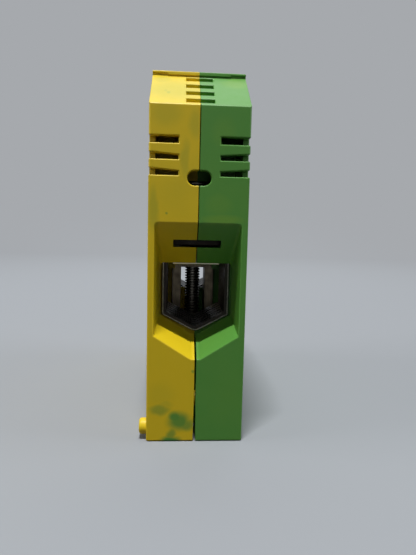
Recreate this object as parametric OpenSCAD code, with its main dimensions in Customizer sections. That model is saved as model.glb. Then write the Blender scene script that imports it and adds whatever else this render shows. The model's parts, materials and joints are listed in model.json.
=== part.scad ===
// Earth terminal block for a 35 mm mounting rail, in millimetres.
// X runs across the width, Y from the front conductor entry to the rear one, Z up from the base.
// The shells part at X = 0, the foot screw stands at X = Y = 0, and the base lies at Z = 0.

/* [Housing] */
// Width over the two shells
body_w = 25; // [24:0.5:30]
// Length from the front face to the rear face
body_l = 84; // [80:1:100]
// Height over the roof
body_h = 97; // [94:0.5:110]
// Height at which the sloping shoulders start
shoulder_z = 85.2; // [83:0.2:88]
// Level run of a sloping shoulder
shoulder_run = 13; // [11:0.5:13]
// Height of the roof's edge above the shoulder
lip_h = 1; // [0.6:0.1:1.4]
// Height and depth of the groove under the roof's edge
lip_groove = 0.5; // [0.3:0.1:0.7]
// Distance from the seam to where the roof's edge gets thinner
lip_step_x = 8.4; // [6:0.2:10]
// Height by which the roof's edge is thinner there
lip_step_h = 0.4; // [0.2:0.1:0.4]
// Thickness of the side walls
side_wall = 1.5; // [1.2:0.1:1.6]
// Thickness of the front, rear and shoulder walls
end_wall = 2; // [1.5:0.1:2.5]
// Thickness of the floor and the roof
floor_t = 1.6; // [1.2:0.1:2.2]
// Thickness of the inner ribs and tubes
rib_t = 1.6; // [1.2:0.1:2]
// Gap between the shells at the base
seam_base_gap = 0.7; // [0.2:0.1:1]
// Gap between the shells below the conductor entry
seam_gap = 0.45; // [0.1:0.05:0.5]
// Gap between the end walls of the shells above it
seam_top_gap = 0.2; // [0.1:0.05:0.3]
// Height over which the gap narrows from the base
seam_flare = 10; // [6:1:16]

/* [Vents] */
// Number of vent notches at each upright corner
vent_rows = 3; // [1:1:4]
// Height of a vent notch at the side
vent_h = 1.8; // [1.2:0.1:2.2]
// Height by which a vent notch below the top one is lower at its inner end
vent_taper = 0.65; // [0:0.05:0.7]
// Spacing of the vent notches
vent_pitch = 3.85; // [3.2:0.05:4.4]
// Height of the lowest notch's sill
vent_z = 68.3; // [66:0.1:69]
// Distance from the seam to a vent notch
vent_x = 5.2; // [4.4:0.2:7]
// Depth of a vent notch from the face
vent_depth = 3; // [2.6:0.1:4]
// Width of the oval test hole
oval_w = 6; // [5:0.2:7]
// Height of the oval test hole
oval_h = 3.7; // [3:0.1:4.4]
// Height of the oval test hole's centre
oval_z = 67.8; // [65:0.2:70]
// Number of slots across each shoulder
slot_rows = 4; // [1:1:4]
// Length of a shoulder slot, half in each shell
slot_l = 7; // [5:0.5:10]
// Width of a shoulder slot up the slope
slot_w = 2; // [1:0.05:2.4]
// Depth of a shoulder slot
slot_depth = 1.2; // [0.8:0.1:1.4]
// Spacing of the shoulder slots up the slope
slot_pitch = 4.3; // [3.4:0.1:4.3]
// Distance from the shoulder's foot to the first slot
slot_start = 2.2; // [1.6:0.1:2.4]

/* [Conductor entries] */
// Width of an entry at the face
entry_w = 21.8; // [20.8:0.2:22]
// Height of an entry's top edge at the face
entry_top_z = 56.8; // [54:0.2:60]
// Height of an entry's lower tip at the face
entry_tip_z = 22; // [20:0.2:24]
// Width of the flat at the lower tip
entry_tip_w = 2.4; // [1.6:0.2:4]
// Slope of the entry's V floor, in degrees
entry_v = 31.6; // [29:0.2:33]
// Depth of an entry from the face to the clamp
entry_depth = 10; // [8:0.5:12]
// Radius of the entry's upper corners
entry_r = 1; // [0.5:0.1:2]
// Width of the test slot above the bar
test_slot_w = 12.5; // [10:0.5:14]
// Height of the test slot
test_slot_h = 2; // [1.2:0.1:2.4]

/* [Clamps] */
// Width of a clamping sleeve
sleeve_w = 18.5; // [17:0.5:19]
// Length of a clamping sleeve along the conductor
sleeve_l = 18; // [16:0.5:20]
// Wall of a clamping sleeve
sleeve_wall = 1.3; // [1:0.1:1.8]
// Slope of the sleeve's V floor, in degrees
sleeve_v = 28; // [24:1:29]
// Outer radius at the tip of the V
sleeve_tip_r = 3; // [2.5:0.1:4]
// Height of the sleeve's tapped head
sleeve_head_h = 7; // [5:0.5:8]
// Height of the conductor space, from the V tip to the bar
clamp_opening = 17.1; // [15:0.1:18]
// Lift of a sleeve from open to closed
clamp_travel = 10; // [6:0.5:10]
// Height to which the rear sleeve is drawn up
rear_raise = 4; // [0:0.1:5]
// Height of the wall that stops a rear conductor short of the foot
rear_stop_z = 34; // [30:0.5:34]
// Number of grip grooves in the V floor
grip_rows = 5; // [2:1:6]
// Width of a grip groove
grip_w = 0.9; // [0.5:0.1:1.2]
// Depth of a grip groove
grip_depth = 0.4; // [0.2:0.1:0.6]
// Width of the current bar
bar_w = 13.2; // [12:0.2:14]
// Thickness of the current bar
bar_t = 4.5; // [3.5:0.1:5]
// Height of the current bar's underside above the base
bar_z = 45.5; // [44:0.5:48]

/* [Screws] */
// Thread diameter of a clamp screw
clamp_screw_d = 8; // [6:0.5:8]
// Head diameter of a clamp screw
clamp_head_d = 9.6; // [9:0.1:10]
// Head height of a clamp screw
clamp_head_h = 7; // [5:0.5:8]
// Hexagon socket of a clamp screw, across flats
clamp_hex = 6; // [4:0.5:6]
// Thread diameter of the foot screw
foot_screw_d = 5; // [4:0.1:5]
// Head diameter of the foot screw
foot_head_d = 8.5; // [7.5:0.1:9]
// Head height of the foot screw
foot_head_h = 5; // [4:0.5:6]
// Hexagon socket of the foot screw, across flats
foot_hex = 4; // [3:0.5:5]
// Depth of a hexagon socket
hex_depth = 3.5; // [2.5:0.5:3.5]
// Diameter of the flat washer
washer_d = 10; // [9.2:0.2:12]
// Thickness of the flat washer
washer_t = 1; // [0.6:0.1:1.6]
// Thickness of the spring washer
spring_t = 1.2; // [0.8:0.1:1.6]
// Width of the split in the spring washer
spring_split = 0.8; // [0.4:0.1:1.2]

/* [Rail foot] */
// Width of the mounting rail over its edges
rail_w = 35; // [34:0.5:35]
// Thickness of the mounting rail
rail_t = 1; // [0.8:0.1:1.5]
// Height of the foot's seat on the rail
rail_seat_z = 6.5; // [6:0.1:8]
// Plate thickness of the foot
foot_t = 3; // [2:0.1:3]
// Gap between the foot's two legs
leg_gap = 7.8; // [7.6:0.1:8.4]
// Width of a leg along the block
leg_w = 10; // [9:0.5:12]
// Height of the foot's cheeks above the rail
cheek_h = 9.5; // [9:0.5:11]
// Height of the cheeks at their outer ends
cheek_end_h = 5.5; // [4:0.5:7]
// Width of the rail yoke
yoke_w = 7; // [6:0.1:7]
// Plate thickness of the rail yoke
yoke_t = 2.5; // [2:0.1:2.5]
// Reach of the yoke's hooks under the rail's edges
hook_reach = 1.9; // [1.5:0.1:2.2]
// Lift of the yoke from open to clamped
yoke_lift = 1.8; // [1.2:0.1:1.8]
// Spare length for tilting the block onto the rail
tilt_play = 0.7; // [0.5:0.1:1.2]
// Width of the square foot nut
nut_w = 7; // [7:0.1:7.2]
// Height of the square foot nut
nut_h = 4; // [3:0.1:4]
// Depth to which the nut is let into the yoke
nut_seat = 0.8; // [0.5:0.1:1]

/* [Pegs and pins] */
// Diameter of a peg on the yellow side
peg_d = 4.2; // [3:0.1:4.4]
// Length of a peg
peg_l = 2; // [1.5:0.1:2.5]
// Distance of a peg's axis from the base and from the end face
peg_inset = 3; // [3:0.1:5]
// Diameter of a pin that joins the shells
pin_d = 4; // [3:0.1:4]
// Length of a joining pin beyond the seam
pin_l = 6; // [4:0.5:8]
// Height of the lower joining pins
pin_low_z = 10; // [8:0.5:12]
// Height of the upper joining pins
pin_high_z = 80; // [74:1:84]

/* [Fits] */
// Gap between a sliding piece and what guides it
slide_gap = 0.3; // [0.2:0.05:0.4]
// Radial gap of a thread in its tapped hole
thread_gap = 0.05; // [0.03:0.01:0.1]
// Radial gap of a screw in a plain hole
hole_gap = 0.3; // [0.2:0.05:0.4]
// Radial gap of a screw head in its tube
head_gap = 0.4; // [0.3:0.05:0.4]
// Gap between the entry's inner end and the sleeve
entry_gap = 0.5; // [0.4:0.05:0.6]
// Gap between the foot's leg and the rib beside it
leg_fit = 0.05; // [0.03:0.01:0.1]
// Radial gap of a joining pin in its socket
pin_gap = 0.05; // [0.03:0.01:0.1]
// Radial gap of a neighbour's peg in its socket
peg_gap = 0.15; // [0.1:0.05:0.2]
// Gap over the rail to the housing, and under the nut to the rail's face
seat_clear = 0.5; // [0.3:0.1:0.8]
// Gap between the sleeve's head and the bar with the clamp open
head_play = 1; // [0.5:0.1:1.4]
// Chamfer on screw ends, pegs and hole rims
chamfer = 0.4; // [0.2:0.1:0.5]

/* [Hidden] */
$fn = 64;
// Facets of the curved pieces inside a hull
hull_fn = 32;
// Steps of the arc at a bent or rounded corner
arc_steps = 8;
// Overrun of a cut past the face that it opens
over = 1;
// Thickness of the thin slabs that a tapered entry is spanned between
slab = 0.1;

half_w = body_w / 2;
half_l = body_l / 2;
inner_w = half_w - side_wall;
inner_l = half_l - end_wall;

// Shoulder: from the end face up to the groove under the roof's edge
lip_y = half_l - shoulder_run;
slope_top_z = body_h - lip_h - lip_groove;
slope = atan2(slope_top_z - shoulder_z, shoulder_run);
roof_in_z = body_h - floor_t;
shoulder_in_z = shoulder_z + end_wall * tan(slope) - end_wall / cos(slope);
roof_in_y = inner_l - (roof_in_z - shoulder_in_z) / tan(slope);

// Clamp: the sleeve hangs on its screw, round the bar
bar_top_z = bar_z + bar_t;
sleeve_y = half_l - entry_depth - entry_gap - sleeve_l / 2;
sleeve_tip_z = bar_z - clamp_opening - sleeve_wall;
window_top_z = bar_top_z + head_play;
sleeve_top_z = window_top_z + sleeve_head_h;
bar_half_l = sleeve_y + sleeve_l / 2 - entry_gap;
grip_pitch = sleeve_l / (grip_rows + 1);

// Clamp screw: its tip stands over the bar and its head runs in a tube
tip_gap = 0.1;
clamp_head_z = sleeve_top_z + clamp_travel + over;
clamp_tube_r = clamp_head_d / 2 + head_gap;

// Foot screw: its head stands on two washers on the bar
foot_head_z = bar_top_z + washer_t + spring_t;
foot_tube_r = foot_head_d / 2 + head_gap;
foot_tube_z = foot_head_z + foot_head_h / 2;

// Foot, yoke and nut on the rail
foot_half_w = leg_gap / 2 + foot_t;
web_z = bar_z - foot_t;
cheek_y = rail_w / 2;
cheek_top_z = rail_seat_z + cheek_h;
cheek_flat = rib_t + 2 * slide_gap + over;
bend_r = foot_t - slide_gap;
hook_y = rail_w / 2 - hook_reach;
hook_top_z = rail_seat_z - rail_t - yoke_lift;
yoke_low_z = hook_top_z - yoke_t;
yoke_front_y = rail_w / 2 + slide_gap;
yoke_rear_y = rail_w - hook_y + tilt_play;
bridge_z = rail_seat_z + nut_h + seat_clear;
bridge_top_z = bridge_z + yoke_t;
nut_z = bridge_z + nut_seat - nut_h;
foot_screw_end_z = nut_z - over;

// Rail notch in the housing, and the pocket for the yoke's arms
notch_z = rail_seat_z + seat_clear;
notch_front_y = yoke_front_y + entry_gap;
notch_rear_y = yoke_rear_y + entry_gap;
pocket_x = yoke_w / 2 + 2 * slide_gap;
pocket_top_z = bridge_top_z + yoke_lift + slide_gap;

// Conductor entry: outline at the face and at the clamp
entry_in_w = sleeve_w + 2 * entry_gap;
entry_in_top_z = bar_z + entry_gap;
entry_in_tip_z = sleeve_tip_z - entry_gap;
throat_wall = 1.5;
test_slot_z = window_top_z + test_slot_h / 4;

// Ribs and pins of the shells
tube_low_z = sleeve_top_z + clamp_travel + slide_gap;
sleeve_rib_y = sleeve_l / 2 - rib_t - grip_w;
bar_ledge = 0.7;
bar_rib_h = 3;
bar_rib_y = (sleeve_y - sleeve_l / 2 + leg_w / 2) / 2;
stop_h = 8;
boss_r = pin_d / 2 + rib_t;
pin_low_y = inner_l - boss_r + rib_t / 2;
pin_high_y = (sleeve_y - clamp_tube_r + foot_tube_r) / 2;
socket_depth = peg_l + slide_gap;
pin_spots = [
    for (end = [-1, 1])
        for (spot = [[pin_low_y, pin_low_z], [pin_high_y, pin_high_z]])
            [end * spot[0], spot[1]]
];

// Colours
yellow = "#E4C81E";
green = "#52A34A";
sleeve_steel = "#5B5850";
bar_metal = "#A39C8E";
foot_steel = "#8F877A";
screw_steel = "#6E6A62";

// Points of a list, mirrored to the other side of the first axis and in reverse order
function mirrored(points) = [
    for (i = [len(points) - 1 : -1 : 0]) [-points[i][0], points[i][1]]
];

// Points of an arc about a centre
function arc(centre, r, from, to) = [
    for (i = [0 : arc_steps])
        let (a = from + (to - from) * i / arc_steps)
            centre + r * [cos(a), sin(a)]
];

// Outline of a sleeve or of the space in it: upright sides, a V floor and a round tip
function sleeve_outline(half, tip_z, tip_r, top_z) =
    let (
        round_tip = arc([0, tip_z + tip_r], tip_r, -90 - sleeve_v, -90 + sleeve_v),
        end = round_tip[len(round_tip) - 1],
        side_z = end[1] + (half - end[0]) * tan(sleeve_v)
    )
    concat([[-half, top_z], [-half, side_z]], round_tip, [[half, side_z], [half, top_z]]);

// Outline of a conductor entry: upright sides, a V floor with a flat tip
function entry_outline(w, top_z, tip_z) =
    let (
        flat = entry_tip_w / 2,
        side_z = tip_z + (w / 2 - flat) * tan(entry_v)
    )
    [[w / 2, top_z], [-w / 2, top_z], [-w / 2, side_z], [-flat, tip_z], [flat, tip_z], [w / 2, side_z]];

// Extrudes an outline in Y and Z across the width
module along_x(from, to) {
    translate([from, 0, 0])
        rotate([90, 0, 90])
            linear_extrude(to - from)
                children();
}

// Extrudes an outline in X and Z along the length
module along_y(from, to) {
    translate([0, to, 0])
        rotate([90, 0, 0])
            linear_extrude(to - from)
                children();
}

// A block between two corners
module block(low, high) {
    translate(low)
        cube(high - low);
}

// The children, and their mirror image at the rear end
module both_ends() {
    children();
    mirror([0, 1, 0]) children();
}

// Side outline of the housing: upright ends, sloping shoulders and a roof with overhanging edges
module housing_outline() {
    rear_side = [
        [half_l, 0],
        [half_l, shoulder_z],
        [lip_y, slope_top_z],
        [lip_y - lip_groove, slope_top_z],
        [lip_y - lip_groove, slope_top_z + lip_groove],
        [lip_y, slope_top_z + lip_groove],
        [lip_y, body_h]
    ];
    polygon(concat(rear_side, mirrored(rear_side)));
}

// Side outline of the space inside the housing
module cavity_outline() {
    rear_side = [[inner_l, floor_t], [inner_l, shoulder_in_z], [roof_in_y, roof_in_z]];
    polygon(concat(rear_side, mirrored(rear_side)));
}

// Tapered space of the front conductor entry
module entry_space() {
    face = entry_outline(entry_w, entry_top_z, entry_tip_z);
    inner = entry_outline(entry_in_w, entry_in_top_z, entry_in_tip_z);
    hull() {
        rounded_slab(face, -half_l - slab);
        rounded_slab(inner, -half_l + entry_depth);
    }
}

// Thin slab of an entry outline whose two upper corners are rounded
module rounded_slab(outline, y) {
    lowered = [
        for (p = outline) p[1] == outline[0][1] ? [p[0], p[1] - entry_r] : p
    ];
    along_y(y, y + slab)
        polygon(lowered);
    for (corner = [outline[0], outline[1]])
        translate([corner[0] - sign(corner[0]) * entry_r, y + slab, corner[1] - entry_r])
            rotate([90, 0, 0])
                cylinder(r = entry_r, h = slab, $fn = hull_fn);
}

// Walls round the front conductor entry, before the entry is cut
module throat() {
    face = entry_outline(entry_w + 2 * throat_wall, entry_top_z + throat_wall, entry_tip_z - throat_wall);
    inner = entry_outline(
        entry_in_w + 2 * throat_wall, entry_in_top_z + throat_wall, entry_in_tip_z - throat_wall
    );
    hull() {
        along_y(-half_l, -half_l + slab)
            polygon(face);
        along_y(-half_l + entry_depth - slab, -half_l + entry_depth)
            polygon(inner);
    }
}

// Ribs that guide the front sleeve and cradle its V floor
module sleeve_ribs() {
    low_z = [floor_t - over / 2, cheek_top_z + over];
    for (i = [0, 1]) {
        y = -sleeve_y + (2 * i - 1) * sleeve_rib_y;
        difference() {
            block([-inner_w, y - rib_t / 2, low_z[i]], [inner_w + over / 2, y + rib_t / 2, tube_low_z]);
            along_y(y - rib_t, y + rib_t)
                polygon(sleeve_outline(
                    sleeve_w / 2 + slide_gap, sleeve_tip_z - slide_gap, sleeve_tip_r, tube_low_z + over
                ));
        }
    }
}

// Ribs that carry the front half of the bar by its edges
module bar_ribs() {
    difference() {
        block(
            [bar_w / 2 - bar_ledge, -bar_rib_y - rib_t / 2, bar_z - bar_rib_h],
            [inner_w + over / 2, -bar_rib_y + rib_t / 2, bar_top_z + bar_rib_h]
        );
        block(
            [0, -bar_rib_y - rib_t, bar_z],
            [bar_w / 2 + slide_gap, -bar_rib_y + rib_t, bar_top_z + slide_gap]
        );
    }
}

// Rib beside a leg of the foot, and stops that stand on its cheeks
module foot_ribs() {
    block(
        [foot_half_w + leg_fit, -rib_t / 2, notch_z],
        [inner_w + over / 2, rib_t / 2, web_z]
    );
    both_ends()
        block(
            [leg_gap / 2, leg_w / 2 + slide_gap, cheek_top_z],
            [inner_w + over / 2, leg_w / 2 + slide_gap + rib_t, cheek_top_z + stop_h]
        );
}

// Wall between the foot and the rear clamp, up to the conductor
module rear_stop() {
    block(
        [0, bar_rib_y - rib_t / 2, cheek_top_z + over],
        [inner_w + over / 2, bar_rib_y + rib_t / 2, rear_stop_z]
    );
}

// Tubes over the screws, each with a rib to the side wall
module screw_tubes() {
    both_ends()
        screw_tube(-sleeve_y, clamp_tube_r + rib_t, tube_low_z);
    screw_tube(0, foot_tube_r + rib_t, foot_tube_z);
}

module screw_tube(y, r, low_z) {
    translate([0, y, low_z])
        cylinder(r = r, h = roof_in_z + floor_t / 2 - low_z);
    block([r - rib_t / 2, y - rib_t / 2, low_z], [inner_w + over / 2, y + rib_t / 2, roof_in_z + floor_t / 2]);
}

// Holes through the roof and the tubes, with chamfered rims
module screw_holes() {
    both_ends()
        screw_hole(-sleeve_y, clamp_tube_r, tube_low_z);
    screw_hole(0, foot_tube_r, foot_tube_z);
}

module screw_hole(y, r, low_z) {
    translate([0, y, low_z - over])
        cylinder(r = r, h = body_h - low_z + 2 * over);
    translate([0, y, body_h - chamfer])
        cylinder(r1 = r, r2 = r + 2 * chamfer, h = 2 * chamfer);
}

// Vent notches, test hole, test slot and shoulder slots of the front end
module front_openings() {
    for (i = [0 : vent_rows - 1])
        along_y(-half_l - over, -half_l + vent_depth)
            translate([0, vent_z + i * vent_pitch])
                vent_outline(i < vent_rows - 1 ? vent_taper : 0);
    oval_hole();
    block(
        [-over, -half_l - over, test_slot_z - test_slot_h / 2],
        [test_slot_w / 2, -sleeve_y - sleeve_l / 2 - entry_gap / 2, test_slot_z + test_slot_h / 2]
    );
    translate([0, -half_l, shoulder_z])
        rotate([slope, 0, 0])
            for (i = [0 : slot_rows - 1])
                translate([0, slot_start + i * slot_pitch - slot_w / 2, 0])
                    block([-over, 0, -slot_depth], [slot_l / 2, slot_w, over]);
}

// Outline of a vent notch from its inner end to the side
module vent_outline(taper) {
    polygon([[vent_x, 0], [half_w + over, 0], [half_w + over, vent_h], [vent_x, vent_h - taper]]);
}

module oval_hole() {
    end_x = (oval_w - oval_h) / 2;
    translate([end_x, -half_l + end_wall + over, oval_z])
        rotate([90, 0, 0])
            cylinder(d = oval_h, h = end_wall + 2 * over);
    block(
        [-over, -half_l - over, oval_z - oval_h / 2],
        [end_x, -half_l + end_wall + over, oval_z + oval_h / 2]
    );
}

// Relief that thins the roof's front edge towards the side
module lip_relief() {
    block(
        [lip_step_x, -lip_y - over, slope_top_z + lip_groove / 2],
        [half_w + over, -lip_y + lip_groove, slope_top_z + lip_groove + lip_step_h]
    );
}

// Wedge that carries the shoulder on into the groove under the thinner edge
module lip_fill() {
    rise = lip_groove * tan(slope);
    inside = over / 2;
    along_x(lip_step_x, half_w)
        polygon([
            [-lip_y, slope_top_z], [-lip_y + lip_groove, slope_top_z + rise],
            [-lip_y + lip_groove + inside, slope_top_z + rise],
            [-lip_y + lip_groove + inside, slope_top_z - inside], [-lip_y, slope_top_z - inside]
        ]);
}

// Gap by which the shells stand apart at the front
module seam_opening() {
    along_y(-half_l - over, -half_l + entry_depth + over)
        polygon([
            [-over, -over], [seam_base_gap / 2, -over], [seam_base_gap / 2, 0],
            [seam_gap / 2, seam_flare], [seam_gap / 2, sleeve_tip_z],
            [seam_top_gap / 2, sleeve_tip_z], [seam_top_gap / 2, shoulder_z], [-over, shoulder_z]
        ]);
}

// Walls of the rail notch and of the floor round it
module notch_walls() {
    block(
        [-over, -notch_front_y - rib_t, 0],
        [inner_w + over / 2, notch_rear_y + rib_t, notch_z + floor_t]
    );
}

// Rail notch, with the openings for the foot and for the yoke's arms
module rail_notch() {
    block([-over, -notch_front_y, -over], [half_w + over, notch_rear_y, notch_z]);
    block(
        [-over, -notch_front_y, 0],
        [foot_half_w + slide_gap, notch_rear_y, notch_z + floor_t + over]
    );
    block(
        [-over, -yoke_front_y - yoke_t - slide_gap, -over],
        [pocket_x, yoke_rear_y + yoke_t + slide_gap, pocket_top_z]
    );
}

// One half of the housing, on the +X side, without its pins and sockets
module half_shell() {
    difference() {
        intersection() {
            union() {
                difference() {
                    along_x(0, half_w) housing_outline();
                    along_x(-over, inner_w) cavity_outline();
                }
                both_ends() {
                    throat();
                    sleeve_ribs();
                    bar_ribs();
                }
                foot_ribs();
                rear_stop();
                screw_tubes();
                notch_walls();
                pin_bosses();
            }
            along_x(0, half_w) housing_outline();
        }
        both_ends() {
            entry_space();
            front_openings();
            lip_relief();
            seam_opening();
        }
        screw_holes();
        rail_notch();
    }
    both_ends() lip_fill();
}

// Bosses between the side wall and the seam, one for each joining pin
module pin_bosses() {
    for (spot = pin_spots)
        translate([0, spot[0], spot[1]])
            rotate([0, 90, 0])
                cylinder(r = boss_r, h = inner_w + side_wall / 2);
}

// A round bar along X that ends in a chamfer, from the origin towards +X
module round_pin(d, l) {
    rotate([0, 90, 0]) {
        cylinder(d = d, h = l - chamfer);
        translate([0, 0, l - chamfer])
            cylinder(d1 = d, d2 = d - 2 * chamfer, h = chamfer);
    }
}

// Places of the two side pegs or sockets
module peg_spots() {
    for (end = [-1, 1])
        translate([0, end * (half_l - peg_inset), peg_inset])
            children();
}

module yellow_shell() {
    color(yellow) {
        mirror([1, 0, 0]) half_shell();
        for (spot = pin_spots)
            translate([-over, spot[0], spot[1]])
                round_pin(pin_d, pin_l + over);
        peg_spots()
            translate([-half_w + side_wall / 2, 0, 0])
                mirror([1, 0, 0]) round_pin(peg_d, peg_l + side_wall / 2);
    }
}

module green_shell() {
    boss_l = socket_depth + floor_t;
    color(green)
        difference() {
            union() {
                half_shell();
                intersection() {
                    peg_spots()
                        translate([half_w - boss_l, 0, 0])
                            rotate([0, 90, 0])
                                cylinder(r = peg_d / 2 + peg_gap + rib_t, h = boss_l);
                    along_x(0, half_w) housing_outline();
                }
            }
            for (spot = pin_spots)
                translate([-over, spot[0], spot[1]])
                    rotate([0, 90, 0])
                        cylinder(r = pin_d / 2 + pin_gap, h = pin_l + over + slide_gap);
            peg_spots()
                translate([half_w - socket_depth, 0, 0])
                    rotate([0, 90, 0])
                        cylinder(r = peg_d / 2 + peg_gap, h = socket_depth + over);
        }
}

module current_bar() {
    color(bar_metal)
        difference() {
            block([-bar_w / 2, -bar_half_l, bar_z], [bar_w / 2, bar_half_l, bar_top_z]);
            translate([0, 0, bar_z - over])
                cylinder(r = foot_screw_d / 2 + hole_gap, h = bar_t + 2 * over);
        }
}

// Clamping sleeve, centred along the conductor: a cage with a tapped head and a grooved V floor
module clamp_sleeve() {
    space_half = sleeve_w / 2 - sleeve_wall;
    space_r = sleeve_tip_r - sleeve_wall;
    space_tip_z = sleeve_tip_z + sleeve_wall;
    color(sleeve_steel)
        difference() {
            along_y(-sleeve_l / 2, sleeve_l / 2)
                polygon(sleeve_outline(sleeve_w / 2, sleeve_tip_z, sleeve_tip_r, sleeve_top_z));
            along_y(-sleeve_l / 2 - over, sleeve_l / 2 + over)
                polygon(sleeve_outline(space_half, space_tip_z, space_r, window_top_z));
            for (i = [1 : grip_rows])
                translate([0, -sleeve_l / 2 + i * grip_pitch, 0])
                    along_y(-grip_w / 2, grip_w / 2)
                        polygon(sleeve_outline(space_half, space_tip_z - grip_depth, space_r, bar_z));
            translate([0, 0, window_top_z - over])
                cylinder(r = clamp_screw_d / 2 + thread_gap, h = sleeve_head_h + 2 * over);
        }
}

module front_clamp_sleeve() {
    translate([0, -sleeve_y, 0]) clamp_sleeve();
}

module rear_clamp_sleeve() {
    translate([0, sleeve_y, rear_raise]) clamp_sleeve();
}

// Socket head screw along +Z: shank from low_z to head_z, then the head
module socket_screw(d, low_z, head_z, head_d, head_h, hex) {
    hex_d = hex / cos(30);
    color(screw_steel)
        difference() {
            union() {
                translate([0, 0, low_z])
                    cylinder(d1 = d - 2 * chamfer, d2 = d, h = chamfer);
                translate([0, 0, low_z + chamfer])
                    cylinder(d = d, h = head_z - low_z - chamfer);
                translate([0, 0, head_z])
                    cylinder(d = head_d, h = head_h - chamfer);
                translate([0, 0, head_z + head_h - chamfer])
                    cylinder(d1 = head_d, d2 = head_d - 2 * chamfer, h = chamfer);
            }
            translate([0, 0, head_z + head_h - hex_depth])
                cylinder(d = hex_d, h = hex_depth + over, $fn = 6);
        }
}

module clamp_screw() {
    socket_screw(
        clamp_screw_d, bar_top_z + tip_gap, clamp_head_z, clamp_head_d, clamp_head_h, clamp_hex
    );
}

module front_clamp_screw() {
    translate([0, -sleeve_y, 0]) clamp_screw();
}

module rear_clamp_screw() {
    translate([0, sleeve_y, 0]) clamp_screw();
}

// Bent foot: a web under the bar, two legs and cheeks that stand on the rail
module earth_foot() {
    cheek_side = [
        [cheek_y, rail_seat_z],
        [cheek_y, rail_seat_z + cheek_end_h],
        [leg_w / 2 + cheek_flat, cheek_top_z],
        [leg_w / 2, cheek_top_z],
        [leg_w / 2, web_z]
    ];
    color(foot_steel)
        difference() {
            union() {
                along_y(-leg_w / 2, leg_w / 2)
                    foot_bend();
                for (x = [-foot_half_w, leg_gap / 2])
                    along_x(x, x + foot_t)
                        polygon(concat(cheek_side, mirrored(cheek_side)));
            }
            translate([0, 0, web_z - over])
                cylinder(r = foot_screw_d / 2 + hole_gap, h = foot_t + 2 * over);
        }
}

// Cross-section of the foot's web and the upper legs, with bent outer corners
module foot_bend() {
    right_side = concat(
        [[leg_gap / 2, web_z], [leg_gap / 2, web_z - bend_r], [foot_half_w, web_z - bend_r]],
        arc([foot_half_w - bend_r, bar_z - bend_r], bend_r, 0, 90)
    );
    polygon(concat(right_side, mirrored(right_side)));
}

module foot_screw() {
    socket_screw(foot_screw_d, foot_screw_end_z, foot_head_z, foot_head_d, foot_head_h, foot_hex);
}

// Flat ring along +Z
module ring(r, hole_r, t) {
    difference() {
        cylinder(r = r, h = t);
        translate([0, 0, -over])
            cylinder(r = hole_r, h = t + 2 * over);
    }
}

module foot_screw_washer() {
    color(screw_steel)
        translate([0, 0, bar_top_z])
            ring(washer_d / 2, foot_screw_d / 2 + hole_gap, washer_t);
}

module foot_spring_washer() {
    color(screw_steel)
        translate([0, 0, bar_top_z + washer_t])
            difference() {
                ring(foot_head_d / 2, foot_screw_d / 2 + hole_gap, spring_t);
                translate([0, -spring_split / 2, -over])
                    cube([foot_head_d, spring_split, spring_t + 2 * over]);
            }
}

// Hooked strap between the foot's cheeks, drawn up under the rail's edges
module rail_yoke() {
    bend = yoke_t - slide_gap;
    outline = concat(
        [[-yoke_front_y - yoke_t, yoke_low_z], [-hook_y, yoke_low_z], [-hook_y, hook_top_z]],
        [[-yoke_front_y, hook_top_z], [-yoke_front_y, bridge_z]],
        [[yoke_rear_y, bridge_z], [yoke_rear_y, hook_top_z]],
        [[hook_y, hook_top_z], [hook_y, yoke_low_z], [yoke_rear_y + yoke_t, yoke_low_z]],
        arc([yoke_rear_y + yoke_t - bend, bridge_top_z - bend], bend, 0, 90),
        arc([-yoke_front_y - yoke_t + bend, bridge_top_z - bend], bend, 90, 180)
    );
    nut_half = nut_w / 2 + thread_gap;
    color(foot_steel)
        difference() {
            along_x(-yoke_w / 2, yoke_w / 2)
                polygon(outline);
            block([-yoke_w, -nut_half, bridge_z - over], [yoke_w, nut_half, bridge_z + nut_seat]);
            translate([0, 0, bridge_z])
                cylinder(r = foot_screw_d / 2 + hole_gap, h = yoke_t + over);
        }
}

module foot_nut() {
    color(screw_steel)
        translate([0, 0, nut_z])
            difference() {
                block([-nut_w / 2, -nut_w / 2, 0], [nut_w / 2, nut_w / 2, nut_h]);
                translate([0, 0, -over])
                    cylinder(r = foot_screw_d / 2 + thread_gap, h = nut_h + 2 * over);
            }
}

yellow_shell();
green_shell();
current_bar();
front_clamp_sleeve();
rear_clamp_sleeve();
front_clamp_screw();
rear_clamp_screw();
earth_foot();
foot_screw();
foot_screw_washer();
foot_spring_washer();
rail_yoke();
foot_nut();
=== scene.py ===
"""Earth terminal block: moulded shells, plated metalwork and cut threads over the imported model."""
import json
import math

import bmesh
import bpy
from mathutils import Matrix, Vector


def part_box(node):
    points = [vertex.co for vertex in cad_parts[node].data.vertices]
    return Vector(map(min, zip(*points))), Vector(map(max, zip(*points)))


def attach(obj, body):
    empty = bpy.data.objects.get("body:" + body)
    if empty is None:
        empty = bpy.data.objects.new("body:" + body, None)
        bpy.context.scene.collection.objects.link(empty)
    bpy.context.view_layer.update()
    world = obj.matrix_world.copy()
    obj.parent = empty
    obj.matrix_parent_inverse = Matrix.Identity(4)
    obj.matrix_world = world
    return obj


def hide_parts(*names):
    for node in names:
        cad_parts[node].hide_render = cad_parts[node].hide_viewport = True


bl_info = {
    "name": "Earth terminal block",
    "version": (1, 0, 0),
    "blender": (4, 5, 0),
    "location": "3D View > Sidebar > Terminal block",
    "description": "Builds a rail-mounted earth terminal block and the studio that it stands in",
    "category": "Object",
}

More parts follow.
